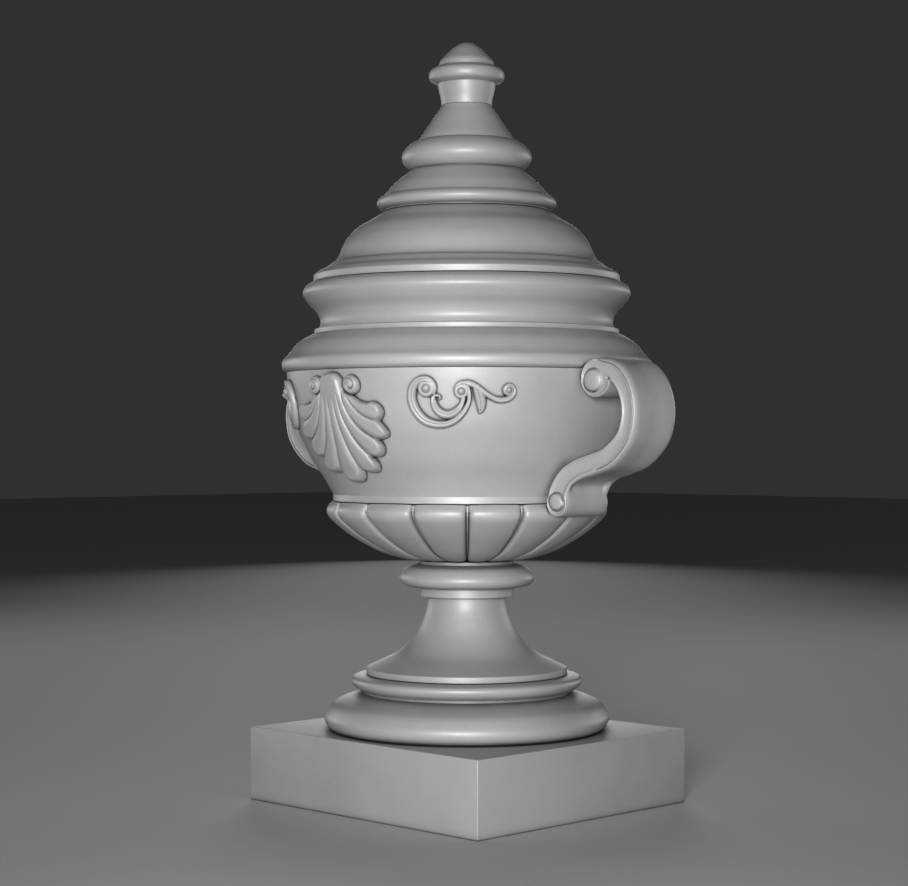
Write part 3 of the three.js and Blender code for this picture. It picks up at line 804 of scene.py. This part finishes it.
def strap_handle():
    box_low, box_high = (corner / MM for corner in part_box("handle_right"))
    low = np.array(box_low) - 4
    counts = np.ceil((np.array(box_high) + 4 - low) / STRAP_STEP).astype(int)
    x_line, y_line, z_line = (low[i] + STRAP_STEP * np.arange(counts[i]) for i in range(3))
    x, z = np.meshgrid(x_line, z_line, indexing="ij")

    run = curve_run(STRAP_LINE)
    nearest = np.full(x.shape, 1e9)
    offset = np.zeros(x.shape)
    half = np.zeros(x.shape)
    for start, end in zip(run, run[1:]):
        dx, dz = end[0] - start[0], end[1] - start[1]
        length = math.hypot(dx, dz)
        along = np.clip(((x - start[0]) * dx + (z - start[1]) * dz) / length ** 2, 0, 1)
        gap_x, gap_z = x - start[0] - along * dx, z - start[1] - along * dz
        gap = np.hypot(gap_x, gap_z)
        side = np.where(gap_z * dx - gap_x * dz >= 0, 1, -1)
        nearer = gap < nearest
        nearest = np.where(nearer, gap, nearest)
        offset = np.where(nearer, side * gap, offset)
        half = np.where(nearer, start[2] + along * (end[2] - start[2]), half)

    from_top = np.hypot(x - TOP_ROLL[0], z - TOP_ROLL[1])
    from_foot = np.hypot(x - FOOT_ROLL[0], z - FOOT_ROLL[1])
    rolls = np.maximum(TOP_ROLL[2] - from_top, FOOT_ROLL[2] - from_foot)
    side_depth = blended(half - nearest, rolls, 1.2)
    dish = SIDE_DISH * rounded(side_depth - 0.9, 6.5)
    outer_edge = np.clip((x - CREASE_FROM_X) / 6, 0, 1) * np.clip((z - CREASE_TO_Z) / 3, 0, 1) * (offset > 0)
    dish = dish + SIDE_CREASE * outer_edge * np.exp(-((side_depth - 0.2) / 0.8) ** 2)
    leaving = np.clip((x - PARTING_FROM_X) / 3, 0, 1) * np.clip((rolls + 1.5) / 2, 0, 1)
    leaving = leaving * (z < PARTING_BELOW_Z)
    dish = dish + PARTING_CUT * leaving * np.exp(-((offset + half) / 1.2) ** 2)
    raised = np.zeros(x.shape)
    for eye_x, eye_z, reach, proud, open_from, open_width in (TOP_EYE, FOOT_EYE):
        out = np.hypot(x - eye_x, z - eye_z)
        around = np.arctan2(z - eye_z, x - eye_x) - open_from
        around = (around + math.pi) % (2 * math.pi) - math.pi
        closed = np.clip(1.25 - 1.5 * np.exp(-(around / open_width) ** 2), 0, 1)
        dome = (proud + SIDE_DISH) * np.sqrt(np.maximum(0, 1 - (out / (reach + 0.5)) ** 2))
        cut_line = EYE_CUT * closed * np.exp(-((out - reach) / 0.95) ** 2)
        raised = np.where(out < reach + 6, np.maximum(raised, dome) - cut_line, raised)
    wall = np.array([bedding_radius(level) for level in z_line]) + 0.3

    pad_radius, pad_level, pad_from, pad_to = PAD
    field = np.empty(tuple(counts), np.float32)
    for j, y in enumerate(y_line):
        from_edge = STRAP_WIDTH / 2 - abs(y)
        swell = STRAP_BULGE * math.sqrt(max(0, 1 - (1 - min(1, max(0, from_edge) / STRAP_SHOULDER)) ** 2))
        swell -= STRAP_HOLLOW * math.exp(-(y / 15) ** 2)
        inner_swell = 0.9 * min(1, max(0, from_edge) / 1.5) ** 0.5
        necking = FOOT_NECK[2] * np.exp(-((z - FOOT_NECK[0]) / FOOT_NECK[1]) ** 2)
        outer_swell = swell - necking * min(1, max(0, from_edge - 1) / 9)
        strap = np.minimum(half + outer_swell - offset, half + inner_swell + offset)
        strap = np.where(nearest > half + 6, half + outer_swell - nearest, strap)
        strap = np.where(np.abs(np.abs(offset) - nearest) < 1e-6, strap, half - nearest)
        body = blended(strap, rolls + ROLL_SWELL * swell, 1.6)
        ends = from_edge - dish + raised
        depth = np.minimum(body, ends)
        pad = np.minimum(pad_radius - np.hypot(y, z - pad_level), pad_to - x)
        depth = np.maximum(depth, np.minimum(pad, x - pad_from))
        depth = np.minimum(depth, np.hypot(x, y) - wall[None, :])
        field[:, j, :] = -depth
    grid = openvdb.FloatGrid(background=3.0)
    grid.copyFromArray(np.clip(field, -3, 3))
    points, quads = grid.convertToQuads(isovalue=0.0)
    points = (points * STRAP_STEP + low) * MM
    return points, quads


handle_points, handle_quads = strap_handle()
for node, hand in (("handle_right", 1), ("handle_left", -1)):
    strap_mesh = bpy.data.meshes.new(node + "_casting")
    strap_mesh.from_pydata((handle_points * (hand, hand, 1)).tolist(), [], handle_quads.tolist())
    settle(node + "_stone", strap_mesh, URN_STONE, "root", "handle_stone", node)

# ---- Seat ring ----
# A flat ring of black rubber that lies on the rim, in a groove under the lid plate, so that the stone
# lid beds evenly and can be turned without grinding. It stays behind when the lid is lifted.
def rubber(name):
    finish, start, place = bare_finish(name)
    bloom = start.node("ShaderNodeTexNoise", {}, {"Vector": place, "Scale": 60, "Detail": 4})
    skin = start.node("ShaderNodeTexNoise", {}, {"Vector": place, "Scale": 900, "Detail": 2})
    colour = bloom.ramp(0.35, 0.7).mix((0.016, 0.016, 0.017, 1), (0.040, 0.040, 0.042, 1))
    normal = start.node("ShaderNodeBump", {}, {"Height": skin, "Strength": 0.4, "Distance": 0.1 * MM})
    surface = {"Base Color": colour, "Roughness": 0.72 + 0.16 * bloom, "Normal": normal}
    shader = start.node("ShaderNodeBsdfPrincipled", {}, surface)
    start.node("ShaderNodeOutputMaterial", {}, {"Surface": shader})
    return finish


turned_stone("seat_ring", [(153, 0), (169, 0), (169, 2.2), (153, 2.2)], rubber("seat_rubber_black"), "seat",
             "seat_rubber")

# ---- Lid plate ----
# The lid's rim piece: a flat band, a hollow running up to the dome's bed, and underneath a spigot
# that drops inside the mouth and a groove for the seat ring.
def lid_stone(node, outline):
    return turned_stone(node, outline, URN_STONE, "lid", "lid_stone")


lid_stone("lid_plate", [
    (126, 0), (147, 0), (147, 14.6), (152, 14.6), (152, 16.8), (170, 16.8), (170, 14.6),
    (181.5, 14.6),
    (181.5, 22.3),
    *catmull([(179.2, 24.6), (175, 27.6), (168.6, 30.6), (163.6, 34.4), (160.4, 36.6)]),
    (126, 36.6),
])

# ---- Lid dome ----
# A low dome, hollow underneath, held down on the plate by its own weight and the bed.
lid_stone("lid_dome", [
    (126, 0),
    *catmull([(160, 0), (156, 2.6), (152, 8.6), (146.6, 21.4), (140.2, 31.4), (130, 42), (114, 51.4),
              (97.6, 61.8)]),
    (6.8, 61.8), (6.8, 31.1), (70, 31.1),
    *catmull([(72, 31), (106, 25.1), (121, 13.1), (125.6, 1)], 5),
])

# ---- Lid tier ----
# The second step of the lid: a half-round bead on a thin fillet, then a hollow that turns up into
# a small lip where it meets the bead.
lid_stone("lid_tier", [
    (6.8, 0),
    (98.2, 0),
    (98.2, 1.2),
    *catmull([(99, 1.4), (104.4, 4.6), (106.6, 9.6), (104.4, 14.4), (98.6, 18.2)]),
    *catmull([(97.7, 19.2), (94.2, 23.4), (87.6, 31.2), (78, 39.4), (67.4, 47.5)])[1:],
    (6.8, 47.5),
])

# ---- Lid knop ----
# A full cushion of stone with a tapering spire above it, turned in one piece.
lid_stone("lid_knop", [
    (6.8, 0),
    (66, 0),
    (66, 1.1),
    *catmull([(66.6, 1.3), (73.8, 8), (77, 15), (75.4, 22.6), (70.4, 29), (63.6, 33.8), (57.4, 36)]),
    *catmull([(57, 37), (53, 43.6), (46.4, 53), (36.9, 67.4), (31.8, 74.6), (30, 77.9)])[1:],
    (6.8, 77.9),
])

# ---- Finial ----
# A short waisted neck that carries a flattened ring, the grip by which the lid is lifted.
lid_stone("finial", [
    (6.8, 0),
    *catmull([(30, 0), (30.9, 8), (33.2, 18), (34.3, 25.8)]),
    *catmull([(37, 26.6), (43, 29.6), (44.8, 35.4), (43, 41.4), (36, 45.7)]),
    (6.8, 45.7),
])

# ---- Finial cap ----
# A small pointed button on top, hollowed underneath for the end of the lid rod.
lid_stone("finial_cap", [
    (0.02, 15.3), (6.8, 15.3), (6.8, 0),
    *catmull([(33, 0), (31.8, 6.6), (26.4, 12.8), (17.5, 21.4), (10, 26.6), (4, 28.8), (0.02, 29)]),
])

# ---- Rods, washers, nuts and dowels ----
# Plain drawn steel: a rod clamps the plinth, foot and bowl, a thinner one clamps the lid, and
# dowels pin the handles to the drum. They keep the shapes they are made in.
def drawn_steel(name):
    finish, start, place = bare_finish(name)
    drawn_out = start.node("ShaderNodeMapping", {}, {"Vector": place, "Scale": (1400, 1400, 40)})
    lines = start.node("ShaderNodeTexNoise", {}, {"Vector": drawn_out, "Scale": 1.0, "Detail": 3})
    stains = start.node("ShaderNodeTexNoise", {}, {"Vector": place, "Scale": 70, "Detail": 5})
    dull = stains.ramp(0.48, 0.68)
    colour = dull.mix((0.53, 0.54, 0.55, 1), (0.33, 0.31, 0.29, 1))
    normal = start.node("ShaderNodeBump", {}, {"Height": lines, "Strength": 0.35, "Distance": 0.05 * MM})
    surface = {"Base Color": colour, "Metallic": 1.0, "Roughness": 0.28 + 0.16 * lines + 0.2 * dull,
               "Normal": normal}
    shader = start.node("ShaderNodeBsdfPrincipled", {}, surface)
    start.node("ShaderNodeOutputMaterial", {}, {"Surface": shader})
    return finish


STEEL = drawn_steel("drawn_steel")
FIXINGS = ["tie_rod", "foot_washer", "foot_nut", "bowl_washer", "bowl_nut", "lid_rod", "lid_washer",
           "lid_nut", "dowel_right_top", "dowel_right_foot", "dowel_left_top", "dowel_left_foot"]
for fixing in FIXINGS:
    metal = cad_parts[fixing]
    metal.data.materials.clear()
    metal.data.materials.append(STEEL)
